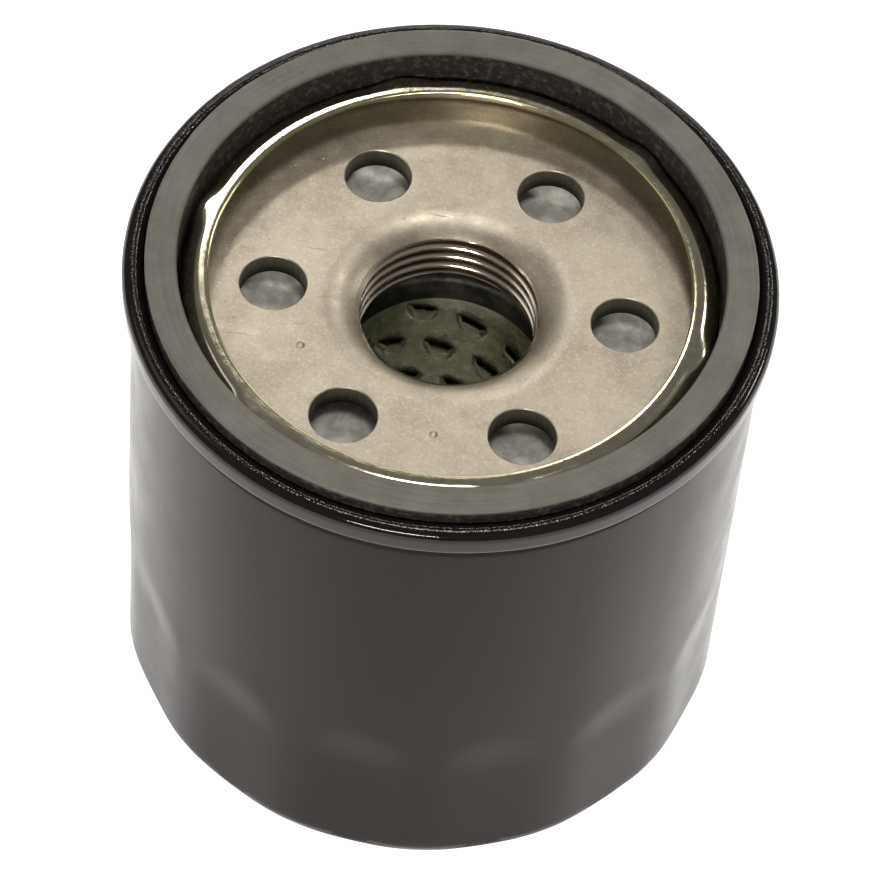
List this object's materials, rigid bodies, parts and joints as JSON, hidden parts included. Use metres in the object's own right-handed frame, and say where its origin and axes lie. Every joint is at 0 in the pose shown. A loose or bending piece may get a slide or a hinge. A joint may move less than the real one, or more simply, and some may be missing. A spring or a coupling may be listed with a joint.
{
  "type": "oil filter",
  "caption": "Spin-on engine oil filter: black drawn can with wrench flats, rolled seam, rubber face gasket, steel base plate with inlet holes and a threaded centre hub.",
  "frame": {"origin": "centre of the flat foot at the can's closed end, on the filter's axis", "axes": "+Z along the filter's axis towards the threaded mounting end; +X within two degrees of one inlet hole"},
  "size_m": [0.0682, 0.0682, 0.064],
  "materials": {
    "can_paint": "semi-gloss black baked enamel on drawn steel",
    "lid_steel": "black enamel on the rolled seam, bare bright steel on the inner lip",
    "plate_steel": "bare pickled steel, matt and slightly mottled",
    "gasket_rubber": "square-cut nitrile rubber, dull with fine concentric marks",
    "valve_rubber": "moulded nitrile rubber with a dusty grey surface",
    "tinplate": "pressed tinplate, half bright",
    "filter_paper": "resin-treated pleated paper",
    "adhesive": "cured adhesive",
    "seam_compound": "rubbery sealing compound",
    "spring_steel": "oil-tempered spring wire and pressed spring steel"
  },
  "bodies": {
    "filter": {"can_shell": "can_paint", "seaming_lid": "lid_steel", "seam_sealing_bead": "seam_compound", "sealing_gasket": "gasket_rubber", "base_plate": "plate_steel", "anti_drainback_valve": "valve_rubber", "upper_end_cap": "tinplate", "upper_potting": "adhesive", "pleated_media": "filter_paper", "media_seam_clip": "tinplate", "centre_tube": "tinplate", "lower_potting": "adhesive", "lower_end_cap": "tinplate", "bypass_cage": "tinplate", "bypass_spring": "spring_steel", "support_spring_seat": "spring_steel", "element_support_spring": "spring_steel"},
    "bypass_valve": {"bypass_poppet": "spring_steel", "bypass_seal": "valve_rubber", "bypass_washer": "spring_steel"}
  },
  "joints": [
    {"name": "bypass_lift", "type": "slide", "parent": "filter", "child": "bypass_valve", "axis": [0, 0, 1], "range_m": [0, 0.003], "stiffness_N_per_m": 1500, "springref_m": -0.0075, "deforming": ["bypass_spring"]}
  ]
}
